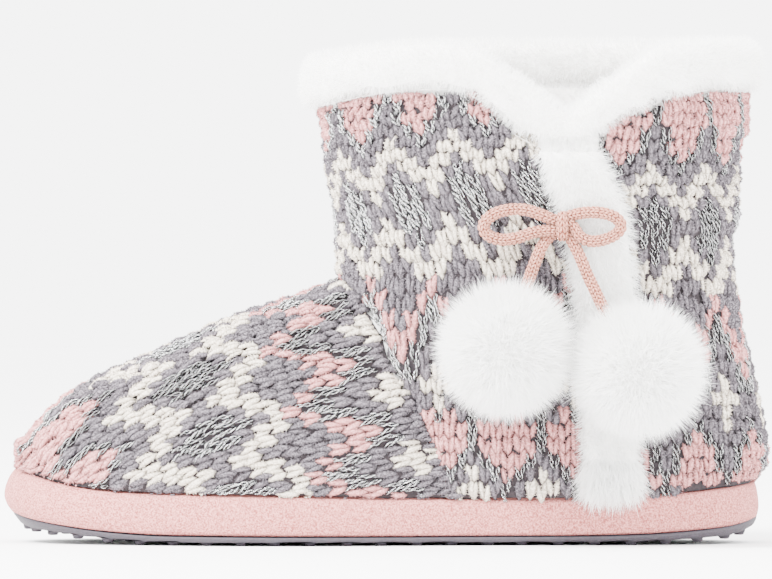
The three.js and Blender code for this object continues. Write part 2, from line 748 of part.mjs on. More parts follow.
// The strip itself, or with a margin the slot that it needs through the wall
function slitForm(margin, locks = 0) {
  const levels = slitRows.map(({ up, middle, width }) => ({
    z: mix(slitFoot, slitTop, up),
    middle: middle * soleLength,
    half: (width * slitWidth) / 2 + margin,
  }));
  if (margin > 0) {
    levels.unshift({ ...levels[0], z: slitFoot - slitProud });
    levels.push({ ...levels[levels.length - 1], z: slitTop + slitProud });
  }
  const rings = levels.map(({ z, middle, half }, i) => {
    const ring = [];
    for (let k = 0; k <= slitSteps; k += 1) {
      const share = 1 - (2 * k) / slitSteps;
      const crown = slitProud * (1 - slitRound * share ** 4) - ((k + i) % 2) * locks;
      const out = margin > 0 ? 2 * slitProud : crown;
      ring.push(offKnit(z, turnAt(middle + share * half, z, -1), out));
    }
    for (const share of [-1, -0.35, 0, 0.35, 1]) {
      const depth = margin > 0 ? 2 * upperWall : upperWall;
      ring.push(offKnit(z, turnAt(middle + share * half, z, -1), -depth));
    }
    return ring;
  });
  return solidOf(loft(rings));
}

// How far a solid outside the leg moves in before it lies a gap off the nearest of others
function roomBehind(solid, others) {
  const tries = 12;
  let moved = 0;
  for (let k = 0; k < tries; k += 1) {
    const here = solid.translate(0, moved, 0);
    const nearest = Math.min(...others.map((other) => here.minGap(other, sideReach)));
    moved += nearest - gap;
  }
  return moved;
}

const shaft = makeShaft();
const slit = slitForm(0, lockDepth);

// Cord bow: the knot lies on the front edge of the fur strip
const knotDepth = knotHeight * 0.68;
const knot = new THREE.Vector3(slitMiddleAt(knotUp) - knotAhead, -shaftWidth, knotUp);
knot.y += roomBehind(makeKnot(), [shaft, slit]);
const bowPoint = ([x, z, out]) => new THREE.Vector3(knot.x + x, knot.y - out, knot.z + z);

function cordSolid(route, diameter = cordDiameter) {
  const path = new THREE.CatmullRomCurve3(route.map(bowPoint), false, 'centripetal');
  const section = new THREE.Shape();
  for (let k = 0; k < cordSides; k += 1) {
    const angle = (2 * Math.PI * (k + 0.5)) / cordSides;
    const corner = [Math.cos(angle) * diameter * 0.5, Math.sin(angle) * diameter * 0.5];
    if (k === 0) section.moveTo(...corner);
    else section.lineTo(...corner);
  }
  const steps = Math.max(4, Math.round(path.getLength() / cordDiameter / 1.1));
  return solidOf(new THREE.ExtrudeGeometry(section, {
    steps, bevelEnabled: false, extrudePath: path,
  }));
}

function makeKnot() {
  const core = new THREE.SphereGeometry(1, 8, 5);
  core.scale(knotHeight * 0.24, knotDepth * 0.44, knotHeight * 0.44);
  core.translate(...knot);
  let solid = solidOf(core);
  for (const side of [-1, 1]) {
    const turnOfCord = new THREE.TorusGeometry(1, 0.3, 5, 8);
    turnOfCord.rotateY(Math.PI / 2);
    turnOfCord.scale(knotHeight * 0.5, knotDepth * 0.385, knotHeight * 0.385);
    turnOfCord.translate(knot.x + side * knotHeight * 0.13, knot.y, knot.z);
    solid = solid.add(solidOf(turnOfCord));
  }
  return solid;
}

// Pompom: a ball with pointed locks all round, one of them straight at the leg, bored for the tail
const pompomLocks = 24;
const lockRoot = pompomCore * 0.62;

function pompomBall(centre) {
  const ball = new THREE.IcosahedronGeometry(pompomCore, 2);
  ball.translate(...centre);
  let solid = solidOf(ball);
  const golden = Math.PI * (3 - Math.sqrt(5));
  for (let k = 0; k < pompomLocks; k += 1) {
    const inwards = 1 - (2 * k) / (pompomLocks - 1);
    const level = Math.sqrt(1 - inwards * inwards);
    const out = new THREE.Vector3(level * Math.cos(k * golden), inwards, level * Math.sin(k * golden));
    const root = centre.clone().addScaledVector(out, lockRoot);
    solid = solid.add(lock(root, out, pompomCore * 0.42, pompomRadius - lockRoot));
  }
  return solid;
}

function makePompom([x, z], tail, others) {
  const ball = pompomBall(new THREE.Vector3(knot.x + x, -shaftWidth, knot.z + z));
  const placed = ball.translate(0, roomBehind(ball, others), 0);
  return placed.subtract(cordSolid(tail, cordDiameter + 2.4 * gap));
}

const pompomLeft = makePompom(pompomLeftPlace, tailLeft, [shaft, slit]);

const pieces = [
  ['outsole', makeOutsole, 0x8f8690, 0.85],
  ['midsole', makeMidsole, 0xe8c2bb, 0.95],
  ['insole', makeInsole, 0xf3efea, 0.95],
  ['vamp', makeVamp, 0xb9b3b9, 0.95],
  ['shaft', () => shaft, 0xb9b3b9, 0.95],
  ['collar_fur', makeCuff, 0xfdfdfb, 1],
  ['slit_fur', () => slit, 0xfdfdfb, 1],
  ['bow_knot', makeKnot, 0xe8b5a5, 0.9],
  ['bow_loop_left', () => cordSolid(loopLeft), 0xe8b5a5, 0.9],
  ['bow_loop_right', () => cordSolid(loopRight), 0xe8b5a5, 0.9],
  ['tail_left', () => cordSolid(tailLeft), 0xe8b5a5, 0.9],
  ['tail_right', () => cordSolid(tailRight), 0xe8b5a5, 0.9],
  ['pompom_left', () => pompomLeft, 0xfdfdfb, 1],
  [
    'pompom_right',
    () => makePompom(pompomRightPlace, tailRight, [shaft, slit, pompomLeft]),
    0xfdfdfb, 1,
  ],
];

const slipper = new THREE.Group();
slipper.position.x = -(soleLength + heelOverhang) / 2;
for (const [name, make, color, roughness] of pieces) {
  const material = new THREE.MeshStandardMaterial({ color, roughness, metalness: 0 });
  const mesh = new THREE.Mesh(geometryOf(make()), material);
  mesh.name = name;
  slipper.add(mesh);
}

export default slipper;
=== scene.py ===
import math

import bmesh
import bpy
import numpy as np
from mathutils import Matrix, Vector
from mathutils.bvhtree import BVHTree


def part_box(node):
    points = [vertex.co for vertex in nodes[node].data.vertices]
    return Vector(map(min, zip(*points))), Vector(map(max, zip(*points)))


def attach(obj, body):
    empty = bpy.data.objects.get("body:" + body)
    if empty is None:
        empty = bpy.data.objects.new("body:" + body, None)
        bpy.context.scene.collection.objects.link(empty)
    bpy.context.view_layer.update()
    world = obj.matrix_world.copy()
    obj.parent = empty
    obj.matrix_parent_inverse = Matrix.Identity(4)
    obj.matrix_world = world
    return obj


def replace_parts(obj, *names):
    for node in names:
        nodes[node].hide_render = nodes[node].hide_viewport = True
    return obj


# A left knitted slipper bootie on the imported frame: toe towards -X, outer side towards -Y,
# floor at Z 0. Blender's unit is the metre, and sizes here are in millimetres, through mm.
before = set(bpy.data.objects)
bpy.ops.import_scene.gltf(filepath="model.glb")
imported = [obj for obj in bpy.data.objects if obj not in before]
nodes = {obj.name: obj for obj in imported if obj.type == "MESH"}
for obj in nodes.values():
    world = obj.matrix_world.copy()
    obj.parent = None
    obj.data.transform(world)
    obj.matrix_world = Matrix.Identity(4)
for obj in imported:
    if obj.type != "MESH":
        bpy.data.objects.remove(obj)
mm = 0.001


def write_size():
    """Updates the view layer at a stage of the script."""
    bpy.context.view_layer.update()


write_size()


# Sole. A foam sole whose side is wrapped in a band of suede, turned under and glued, stands on a
# thin moulded rubber sheet. The sheet shows as a dark line that stands a little proud of the band.
def srgb(code):
    """Linear colour of a six-digit sRGB code."""
    values = [int(code[i:i + 2], 16) / 255 for i in (0, 2, 4)]
    return [v / 12.92 if v <= 0.04045 else ((v + 0.055) / 1.055) ** 2.4 for v in values] + [1]


def add(tree, kind, settings=(), **inputs):
    """Adds a shader node with its settings and its values or links."""
    node = tree.nodes.new(kind)
    for key, value in dict(settings).items():
        setattr(node, key, value)
    for key, value in inputs.items():
        socket = node.inputs[key.replace("_", " ")]
        if isinstance(value, bpy.types.NodeSocket):
            tree.links.new(value, socket)
        else:
            socket.default_value = value
    return node


def empty_material(name):
    """A material and its cleared node tree."""
    material = bpy.data.materials.new(name)
    material.use_nodes = True
    material.node_tree.nodes.clear()
    return material, material.node_tree


def surface(name, light, dark, grain, depth, spread=0.1, painted_gap_shade=0.0, **finish):
    """A matt or metal surface mottled between two colours, with bumps of a grain size and a depth in
    millimetres. painted_gap_shade is painted shade: how much darker the colour is made where ambient
    occlusion finds neighbouring yarns close."""
    material, tree = empty_material(name)
    place = add(tree, "ShaderNodeNewGeometry").outputs["Position"]
    noise = add(tree, "ShaderNodeTexNoise", Vector=place, Scale=1 / (grain * mm), Detail=3.0)
    ramp = add(tree, "ShaderNodeMapRange", Value=noise.outputs["Fac"], From_Min=0.5 - spread,
               From_Max=0.5 + spread)
    colour = add(tree, "ShaderNodeMix", {"data_type": "RGBA"})
    tree.links.new(ramp.outputs["Result"], colour.inputs[0])
    colour.inputs[6].default_value = srgb(dark)
    colour.inputs[7].default_value = srgb(light)
    shade = colour.outputs[2]
    # Painted shade: the colour is darkened where ambient occlusion finds other surfaces within 2.5
    # mm, deep between the yarns.
    if painted_gap_shade:
        open_sky = add(tree, "ShaderNodeAmbientOcclusion", {"samples": 4}, Distance=2.5 * mm)
        deep = add(tree, "ShaderNodeMapRange", Value=open_sky.outputs["AO"], From_Min=0.25,
                   From_Max=0.8, To_Min=1 - painted_gap_shade, To_Max=1.0)
        darker = add(tree, "ShaderNodeVectorMath", {"operation": "SCALE"}, Vector=shade,
                     Scale=deep.outputs["Result"])
        shade = darker.outputs["Vector"]
    bump = add(tree, "ShaderNodeBump", Strength=1.0, Distance=depth * mm,
               Height=noise.outputs["Fac"])
    body = add(tree, "ShaderNodeBsdfPrincipled", Base_Color=shade,
               Normal=bump.outputs["Normal"], **finish)
    add(tree, "ShaderNodeOutputMaterial", Surface=body.outputs["BSDF"])
    return material


def softened(node, name, material, cuts=2, rounds=8, outwards=0.0):
    """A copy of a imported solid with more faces, its facets smoothed, moved out by millimetres."""
    work = bmesh.new()
    work.from_mesh(nodes[node].data)
    bmesh.ops.remove_doubles(work, verts=work.verts, dist=0.01 * mm)
    bmesh.ops.subdivide_edges(work, edges=work.edges, cuts=cuts, use_grid_fill=True)
    bmesh.ops.triangulate(work, faces=work.faces)
    for _ in range(rounds):
        bmesh.ops.smooth_vert(work, verts=work.verts, factor=0.5, use_axis_x=True,
                              use_axis_y=True, use_axis_z=True)
    work.normal_update()
    for vert in work.verts:
        vert.co += vert.normal * outwards * mm
    mesh = bpy.data.meshes.new(name)
    work.to_mesh(mesh)
    work.free()
    mesh.materials.clear()
    mesh.materials.append(material)
    mesh.polygons.foreach_set("use_smooth", np.ones(len(mesh.polygons), dtype=bool))
    piece = bpy.data.objects.new(name, mesh)
    bpy.context.scene.collection.objects.link(piece)
    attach(piece, "root")
    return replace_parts(piece, node)


# Suede is split leather, brushed: a nap of half a millimetre without gloss, mottled by strokes.
suede = surface("pink suede", "d08a84", "8c4a45", 0.55, 0.5, spread=0.14, Roughness=1.0)
band = softened("midsole", "suede_band", suede, cuts=2, rounds=2, outwards=0.3)

# Moulded rubber is nearly even in colour, with a fine dull skin.
rubber = surface("grey outsole", "37313a", "2c262d", 0.6, 0.1, Roughness=0.7)
sheet = softened("outsole", "outsole_sheet", rubber, cuts=1, rounds=1)
for vert in sheet.data.vertices:
    vert.co.x *= 1.006
    vert.co.y *= 1.03
    vert.co.z *= 1.18


# Leg. Its knit is stocking stitch in three chenille yarns and a metallic one, worked flat in a
# pattern of lozenges and sewn to the sole. Its courses lie level and fan out beside the slit.
def mesh_object(name, points, faces, materials, slots=None):
    """A piece from an array of points and a list of faces, with a material index for each."""
    mesh = bpy.data.meshes.new(name)
    mesh.from_pydata(np.asarray(points).tolist(), [], faces)
    for material in materials:
        mesh.materials.append(material)
    if slots is not None:
        mesh.polygons.foreach_set("material_index", np.asarray(slots, dtype=np.int32))
    mesh.polygons.foreach_set("use_smooth", np.ones(len(mesh.polygons), dtype=bool))
    mesh.update()
    piece = bpy.data.objects.new(name, mesh)
    bpy.context.scene.collection.objects.link(piece)
    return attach(piece, "root")


def tree_of(node):
    """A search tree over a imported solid."""
    mesh = nodes[node].data
    points = [vert.co.copy() for vert in mesh.vertices]
    return BVHTree.FromPolygons(points, [list(face.vertices) for face in mesh.polygons])


class Panel:
    """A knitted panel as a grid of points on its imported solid, found by rays from outside. Its rows
    lie at levels up the leg or at lengths along the foot, and wales are counted by the distance
    walked round a row from its start."""

    def __init__(self, tree, rows, centres, rays, start, anchored=False, shrink=1.0):
        self.rows = rows
        self.tree = tree
        reach = 200 * mm
        deepest = reach - 12 * mm
        points = np.full((len(rows), len(rays), 3), np.nan)
        for i, centre in enumerate(centres):
            for k, ray in enumerate(rays):
                way = Vector(ray)
                hit, normal, _, distance = tree.ray_cast(Vector(centre) + way * reach, -way)
                if hit is not None and normal.dot(way) > 0.05 and distance < deepest:
                    points[i, k] = hit
        self.points = self.filled(points, centres, rays, shrink)
        steps = np.linalg.norm(np.diff(self.points, axis=1), axis=2)
        walked = np.concatenate([np.zeros((len(rows), 1)), np.cumsum(steps, axis=1)], axis=1)
        self.walked = walked - walked[:, start:start + 1]
        if anchored:
            last = np.flatnonzero(np.isfinite(points[:, start, 0]))[-1]
            even = np.pad(self.walked[:last + 1], ((3, 3), (0, 0)), "edge")
            self.walked[:last + 1] = sum(even[k:k + last + 1] for k in range(7)) / 7
            self.anchor(last, start)

    def anchor(self, last, start):
        """Past the last whole row, distances run on from the edges instead of from the middle."""
        for i in range(last + 1, len(self.rows)):
            for edge, half_row in ((0, slice(0, start)), (-1, slice(start + 1, None))):
                ends = self.walked[last - 6:last + 1, edge]
                reach = ends[-1] + (ends[-1] - ends[0]) / 6 * (i - last)
                self.walked[i, half_row] += reach - self.walked[i, edge]
            self.walked[i] = np.maximum.accumulate(self.walked[i])

    def filled(self, points, centres, rays, shrink):
        """Gaps are bridged along the rows. A row's shrink draws it in towards its centre."""
        centres = np.asarray(centres)[:, None, :]
        radius = np.linalg.norm(points - centres, axis=2)
        steps = np.arange(radius.shape[1])
        known = np.isfinite(radius)
        whole = np.flatnonzero(known.sum(axis=1) > 8)
        for i, row in enumerate(radius):
            source = whole[np.abs(whole - i).argmin()]
            hits = known[source]
            radius[i] = np.interp(steps, steps[hits], radius[source][hits])
        radius = radius * np.reshape(shrink, (-1, 1))
        return centres + radius[:, :, None] * np.asarray(rays)[None, :, :]

    def covers(self, row, distance):
        """Whether a distance is between the two edges of its row, or just past one."""
        nearest = np.abs(np.asarray(self.rows)[None] - row[:, None]).argmin(axis=1)
        edge = 2.5 * mm
        low, high = self.walked[nearest, 0] - edge, self.walked[nearest, -1] + edge
        return (distance > low) & (distance < high)

    def at(self, row, distance):
        """The point of the surface at a row's coordinate and a distance round from the start."""
        last = len(self.rows) - 1
        place = np.clip(np.interp(row, self.rows, np.arange(len(self.rows))), 0, last)
        low = np.minimum(place.astype(int), last - 1)
        share = place - low
        found = np.zeros((len(row), 3))
        steps = np.arange(self.points.shape[1])
        for n in range(len(row)):
            ends = []
            for level in (low[n], low[n] + 1):
                step = np.interp(distance[n], self.walked[level], steps)
                first = min(int(step), len(steps) - 2)
                part = step - first
                line = self.points[level]
                ends.append(line[first] * (1 - part) + line[first + 1] * part)
            found[n] = ends[0] * (1 - share[n]) + ends[1] * share[n]
        return found


def unit(vectors):
    """The vectors at length 1."""
    return vectors / np.maximum(np.linalg.norm(vectors, axis=-1, keepdims=True), 1e-9)


def tubes(centres, outs, radii, sides):
    """Points and faces of many closed tubes along lines of points: outs point off the surface."""
    lines, rings = centres.shape[:2]
    along = unit(np.gradient(centres, axis=1))
    across = unit(np.cross(along, outs))
    outs = unit(np.cross(across, along))
    turns = 2 * math.pi * np.arange(sides) / sides
    shape = (np.cos(turns)[:, None, None, None] * across
             + np.sin(turns)[:, None, None, None] * outs)
    points = centres + shape * radii[None, :, :, None]
    points = points.transpose(1, 2, 0, 3).reshape(-1, 3)
    faces = []
    for line in range(lines):
        start = line * rings * sides
        for ring in range(rings - 1):
            low = start + ring * sides
            for k in range(sides):
                n = (k + 1) % sides
                faces.append((low + k, low + n, low + sides + n, low + sides + k))
        faces.append(tuple(start + k for k in reversed(range(sides))))
        faces.append(tuple(start + (rings - 1) * sides + k for k in range(sides)))
    return points, faces


# The chart, from the top of the leg down and from the toe back, one line a course: Pink, Cream,
# Grey, Silver. A line runs from the middle of a lozenge to its edge, and its mirror image makes up
# the repeat of six wales. Ahead of the slit the last courses of the leg differ.
chart = """
PPPS PPPS PPSG PPSG PSGG SGGC GGCC GCCG CCGS CGSS GGSS CGSS CCGS GCCG GGCC GGGP
GGPS GPSS PPSG PSGG SSGC GGCC GGGC SGGC PSGG PPSG PPSG PPPS CPGS CCGG GCGG
""".split()
chart_ahead = chart[:23] + "SGPS SPPP SPPP GSPP CGSP CCGS CCGG CGGG".split()
yarns = {"P": 0, "C": 1, "G": 2, "S": 3}
repeat = 6


def yarn_of(course, wale, chart):
    """Which yarn a stitch has."""
    line = chart[min(max(course, 0), len(chart) - 1)]
    edge = abs((wale + repeat // 2) % repeat - repeat // 2)
    return yarns[line[edge]]


def stitch_legs(panel, inside, course, wale, place, rings, rng):
    """Both legs of each V stitch as lines of points, with the directions off the surface. A leg
    leans out to its side of the wale and reaches over the course before, a little unevenly."""
    share = np.linspace(0, 1, rings)
    count = (len(course), 1)
    step = 1.0 * mm
    lines, outs = [], []
    for side in (-1, 1):
        c = course[:, None] + 0.7 - 1.45 * share + rng.normal(0, 0.15, count)
        w = (wale[:, None] + side * (0.06 + 0.36 * share)
             + rng.normal(0, 0.06, count) + rng.normal(0, 0.1, count) * share)
        row, distance = place(c.ravel(), w.ravel())
        on = panel.at(row, distance)
        round_row = panel.at(row, distance + step) - on
        up_panel = panel.at(row + step, distance) - on
        out = unit(np.cross(round_row, up_panel))
        out = out * np.sign((out * (on - inside(on))).sum(axis=1, keepdims=True))
        lines.append(on.reshape(-1, rings, 3))
        outs.append(out.reshape(-1, rings, 3))
    return share, np.concatenate(lines), np.concatenate(outs)


def pile(centres, outs, radii, rng):
    """The fuzz of chenille: short fibres square to the yarn on the side that shows. Real fibres
    are far finer and more, and would not show, so these are drawn 0.44 mm wide at the root."""
    fibres = 32
    longest = 0.95 * mm
    half_width = 0.22 * mm
    line = np.repeat(np.arange(len(centres)), fibres)
    place = rng.uniform(0.4, centres.shape[1] - 1.4, len(line))
    low = place.astype(int)
    share = (place - low)[:, None]

    def between(values):
        """Values at the places of the fibres along their yarns."""
        return values[line, low] * (1 - share) + values[line, low + 1] * share

    along = unit(between(np.gradient(centres, axis=1)))
    out = between(outs)
    turn = rng.uniform(-1.9, 1.9, share.shape)
    spoke = np.cos(turn) * out + np.sin(turn) * unit(np.cross(along, out))
    radius = between(radii[:, :, None])
    foot = between(centres) + spoke * radius * 0.85
    lean = spoke + along * rng.normal(0, 0.35, share.shape)
    tip = foot + lean * rng.uniform(0.5, 1.0, share.shape) * longest
    side = along * half_width
    points = np.stack([foot - side, foot + side, tip], axis=1).reshape(-1, 3)
    return points, np.arange(len(points)).reshape(-1, 3), line


# Chenille is cut cotton pile twisted into a core: soft, without gloss. Its mottle has the size of a
# tuft, 0.6 mm. Between the yarns the colour is darkened as painted shade.
pink_yarn = surface("pink chenille", "d99c99", "ac6c6a", 0.6, 0.4, painted_gap_shade=0.65, Roughness=1.0)
cream_yarn = surface("cream chenille", "f4e9da", "c6b8a6", 0.6, 0.4, painted_gap_shade=0.65, Roughness=1.0)
grey_yarn = surface("grey chenille", "787077", "413b40", 0.6, 0.4, painted_gap_shade=0.65, Roughness=1.0)


def chenille(name, panel, inside, course, wale, yarn, place, thickness, rng):
    """The stitches in the three soft yarns, arched up between their sunken ends, with their pile."""
    rings = 5
    share, lines, outs = stitch_legs(panel, inside, course, wale, place, rings, rng)
    slots = np.concatenate([yarn, yarn])
    size = rng.normal(1, 0.12, (len(lines), 1))
    arch = np.sin(math.pi * share) ** 0.8
    lift = arch * 1.9 - 2.2 + rng.normal(0, 0.16, (len(lines), 1))
    centre = lines + outs * lift[:, :, None] * mm
    radii = thickness * mm * (0.4 + 0.6 * arch)[None, :] * size
    points, faces = tubes(centre, outs, radii, 4)
    tips, blades, line = pile(centre, outs, radii, rng)
    blades = (blades + len(points)).tolist()
    face_slots = np.concatenate([np.repeat(slots, len(faces) // len(lines)), slots[line]])
    piece = mesh_object(name, np.concatenate([points, tips]), faces + blades,
                        [pink_yarn, cream_yarn, grey_yarn], face_slots)
    return piece


# Metallic yarn is plastic foil under a film of aluminium, slit fine, with a hard metal gleam. Two
# plies are twisted together. Its colour is mottled from white to near black at the size of a ply, as
# painted glints and painted dark reflections, and it is darkened between the yarns as painted shade.
silver_yarn = surface("silver metallic", "ffffff", "222024", 0.3, 0.6, painted_gap_shade=0.6, Metallic=1.0,
                      Roughness=0.22)


def metallic(name, panel, inside, course, wale, place, rng):
    """The stitches in the metallic yarn, each leg of two thin plies twisted round each other."""
    rings = 8
    ply_radius = 0.36 * mm
    ply_offset = 0.52 * mm
    share, lines, outs = stitch_legs(panel, inside, course, wale, place, rings, rng)
    size = rng.normal(1, 0.12, (len(lines), 1))
    arch = np.sin(math.pi * share) ** 0.8
    centre = lines + outs * ((arch * 1.4 - 1.4) * mm)[None, :, None]
    along = unit(np.gradient(centre, axis=1))
    across = unit(np.cross(along, outs))
    plies = []
    for ply in (0, 1):
        turn = 2.6 * math.pi * share[None, :, None] + math.pi * ply + 6 * size[:, :, None]
        plies.append(centre + (np.cos(turn) * across + np.sin(turn) * outs) * ply_offset)
    radii = ply_radius * np.tile(size, (2, rings))
    points, faces = tubes(np.concatenate(plies), np.concatenate([outs, outs]), radii, 3)
    return mesh_object(name + "_metallic", points, faces, [silver_yarn])


def stitches(name, panel, inside, courses, wales, place, chart, first_wale, thickness, own):
    """V stitches on a panel. place gives a row coordinate and a distance for course and wale, and
    own says which points belong to the panel."""
    rng = np.random.default_rng(7)
    course, wale = np.meshgrid(np.arange(*courses), np.arange(*wales), indexing="ij")
    course, wale = course.ravel(), wale.ravel()
    yarn = np.array([yarn_of(c, w - first_wale, chart) for c, w in zip(course, wale)])
    row, distance = place(course.astype(float), wale.astype(float))
    middle = panel.at(row, distance)
    near = [panel.tree.find_nearest(Vector(point))[3] < 1.3 * mm for point in middle]
    shown = np.array(near) & (row > panel.rows[0] - 2 * mm) & (row < panel.rows[-1])
    shown &= panel.covers(row, distance) & own(middle)
    soft = shown & (yarn < yarns["S"])
    shiny = shown & (yarn == yarns["S"])
    chenille(name, panel, inside, course[soft], wale[soft], yarn[soft], place, thickness, rng)
    metallic(name, panel, inside, course[shiny], wale[shiny], place, rng)


# Height in millimetres of some courses, ahead of the slit and behind it
course_table = {
    "course": [-2, 0, 3.5, 9, 14, 20.5, 23, 27, 29],
    "ahead": [161, 153, 139, 117.0, 94.1, 57.0, 44.3, 24, 14],
    "behind": [157, 149, 133.5, 112.7, 87.6, 51.5, 41, 22, 13],
}
toe_x = -130.95 * mm
leg_wale = 3.9 * mm
leg_thickness = 1.08
leg_rows = np.arange(14, 155, 2.0) * mm
leg_axis = np.interp(leg_rows, [60 * mm, 120 * mm], [200 * mm + toe_x, 180 * mm + toe_x])
leg_turns = np.radians(np.arange(-190, 171, 2))
leg_rays = [(math.cos(turn), math.sin(turn), 0) for turn in leg_turns]
leg_centres = [(x, 0, z) for x, z in zip(leg_axis, leg_rows)]
outer_ray = 50
leg = Panel(tree_of("shaft"), leg_rows, leg_centres, leg_rays, outer_ray)
slit_points = np.array([vert.co for vert in nodes["slit_fur"].data.vertices])
slit_heights = np.arange(20, 134, 6) * mm
slit_middles = []
for z in slit_heights:
    near = slit_points[np.abs(slit_points[:, 2] - z) < 12 * mm, 0]
    slit_middles.append((near.min() + near.max()) / 2)


def leg_place(course, wale, front):
    """Height and distance round the leg, for the panel ahead of the slit or the one behind it."""
    heights = course_table["ahead" if front else "behind"]
    height = np.interp(course, course_table["course"], heights) * mm
    if front:
        high = np.clip((height - 95 * mm) / (25 * mm), 0, 1)
        height = height + high * np.clip(0.14 * (wale + 21) * leg_wale, -2 * mm, 8 * mm)
    fan = np.clip((height - 95 * mm) / (60 * mm), 0, 1) * 11 * mm
    near = np.clip(3.0 + wale / 12, 0, 1) if front else np.clip(1.6 - wale / 12, 0, 1)
    middle = np.interp(height, slit_heights, slit_middles)
    offset = middle - np.interp(height, leg_rows, leg_axis)
    return height, offset + wale * leg_wale + (-fan if front else fan) * near


def front_place(course, wale):
    return leg_place(course, wale, True)


def back_place(course, wale):
    return leg_place(course, wale, False)


def leg_inside(points):
    """Points on the leg's axis at the same heights."""
    axis = np.interp(points[:, 2], leg_rows, leg_axis)
    return np.stack([axis, axis * 0, points[:, 2]], axis=1)


def behind_slit(points):
    return points[:, 0] > np.interp(points[:, 2], slit_heights, slit_middles)


def on_front(points):
    return ~behind_slit(points)


def on_back(points):
    return (points[:, 1] > 0) | behind_slit(points)


stitches("leg_knit_front", leg, leg_inside, (-1, 30), (-32, 5), front_place, chart_ahead, 0,
         leg_thickness, on_front)
stitches("leg_knit_back", leg, leg_inside, (-1, 30), (-4, 70), back_place, chart, 2,
         leg_thickness, on_back)

# Foot. Its panel is the same knit, with the wales from the toe to the ankle, counted from the
# ridge, and courses that lean back down the side. It is gathered at the blunt tip of the toe and
# sewn to the sole and under the leg's front edge. Its rows ahead of the tip are drawn in to it.
foot_wale = 4.15 * mm
foot_course = 5.37 * mm
foot_thickness = 1.15
foot_rows = np.arange(-4.4, 164, 3.0) * mm + toe_x
foot_line = {
    "along": [3, 8, 18, 34, 54, 78, 98, 129, 160],
    "middle": [7.5, 6.0, 4.9, 3.6, 2.2, 0.2, -1.5, -3.4, -3.4],
    "seat": [25.5, 24.5, 22, 19.5, 18.4, 17.9, 17.6, 17.0, 16.8],
}
foot_along = (foot_rows - toe_x) / mm
foot_middle, foot_seat = (np.interp(foot_along, foot_line["along"], foot_line[name]) * mm
                          for name in ("middle", "seat"))
foot_centres = list(zip(np.maximum(foot_rows, 4.2 * mm + toe_x), foot_middle, foot_seat))
foot_shrink = np.interp(foot_along, [-6, 4.6], [0.05, 1])
foot_rays = [(0, math.cos(turn), math.sin(turn)) for turn in np.radians(np.arange(0, 181, 2))]
ridge_ray = 45
foot = Panel(tree_of("vamp"), foot_rows, foot_centres, foot_rays, ridge_ray, True, foot_shrink)
ridge_points = foot.points[:, ridge_ray, 2]
bend = 110 * mm + toe_x
whole_rows = (foot_rows > 4 * mm + toe_x) & (foot_rows < bend)
ridge_curve = np.polyfit(foot_rows[whole_rows], ridge_points[whole_rows], 5)
ridge_heights = np.polyval(ridge_curve, foot_rows)
ridge_heights[:3] = ridge_points[:3]
past = foot_rows >= bend
ridge_heights[past] = ridge_heights[~past][-1] + 0.42 * (foot_rows[past] - foot_rows[~past][-1])


def foot_place(course, wale):
    """Length along the foot and distance from the ridge, outer side positive."""
    distance = wale * foot_wale
    start = 5.5 * mm + toe_x + foot_course * course
    length = start
    for _ in range(3):
        height = foot.at(length, distance)[:, 2]
        length = start + 0.33 * (np.interp(length, foot_rows, ridge_heights) - height)
    return length, distance


def foot_inside(points):
    """Points on the line through the middle of the foot."""
    y = np.interp(points[:, 0], foot_rows, foot_middle)
    z = np.interp(points[:, 0], foot_rows, foot_seat)
    return np.stack([np.maximum(points[:, 0], 10 * mm + toe_x), y, z], axis=1)


def anywhere(points):
    return np.ones(len(points), dtype=bool)


stitches("foot_knit", foot, foot_inside, (-4, 28), (-27, 28), foot_place, chart, 0,
         foot_thickness, anywhere)

# Backing. The yarns cross behind the stitches in floats. This layer is coloured near black as painted
# shade, which shows through the gaps. It is one cloth with the knit, and ends inside the seam with
# the sole.
# Near-black colour: painted shade seen in the gaps between the stitches.
backing_shade = surface("knit backing", "2e272a", "201b1e", 1.0, 0.2, Roughness=1.0)
below_seam = 1.2 * mm
for piece in (softened("shaft", "leg_backing", backing_shade, cuts=1, rounds=1, outwards=-1.1),
              softened("vamp", "foot_backing", backing_shade, cuts=1, rounds=1, outwards=-1.1)):
    for vert in piece.data.vertices:
        vert.co.z -= below_seam

# Footbed. A foam insole covered in white fleece lies loose on the sole, inside the knit.
# Fleece is brushed polyester: white, without gloss, in soft tufts of about a millimetre.
fur_base = surface("fur base", "fdfcfa", "f6f3f0", 1.2, 0.6, Roughness=1.0)
softened("insole", "footbed", fur_base, cuts=1, rounds=2, outwards=-0.8)


# Lining. The same fleece lines the leg and the foot. It is cut like the knit, bagged out with it
# at the collar, and hangs a little in front of it.
def lining(name, node, inside):
    """The faces of a hollow solid that look at the foot, a little in front of the wall."""
    proud = 0.5 * mm
    mesh = nodes[node].data
    centres = np.array([face.center for face in mesh.polygons])
    ways = np.array([face.normal for face in mesh.polygons])
    inner = ((centres - inside(centres)) * ways).sum(axis=1) < -0.0001
    points = np.array([vert.co + vert.normal * proud for vert in mesh.vertices])
    faces = [tuple(face.vertices) for face, chosen in zip(mesh.polygons, inner) if chosen]
    return mesh_object(name, points, faces, [fur_base])


leg_lining = lining("leg_lining", "shaft", leg_inside)
foot_lining = lining("foot_lining", "vamp", foot_inside)


# Cuff. A band of faux fur goes round the top of the leg, with a dip over the slit: long white
# acrylic pile on a knitted ground, sewn on along both edges and turned in at the collar.
def fur_surface(name, colour, through):
    """White fur fibre: part of the light is scattered back and part of it passes through."""
    material, tree = empty_material(name)
    back = add(tree, "ShaderNodeBsdfDiffuse", Color=srgb(colour))
    front = add(tree, "ShaderNodeBsdfTranslucent", Color=srgb(colour))
    mix = add(tree, "ShaderNodeMixShader", Fac=through)
    tree.links.new(back.outputs[0], mix.inputs[1])
    tree.links.new(front.outputs[0], mix.inputs[2])
    add(tree, "ShaderNodeOutputMaterial", Surface=mix.outputs[0])
    return material


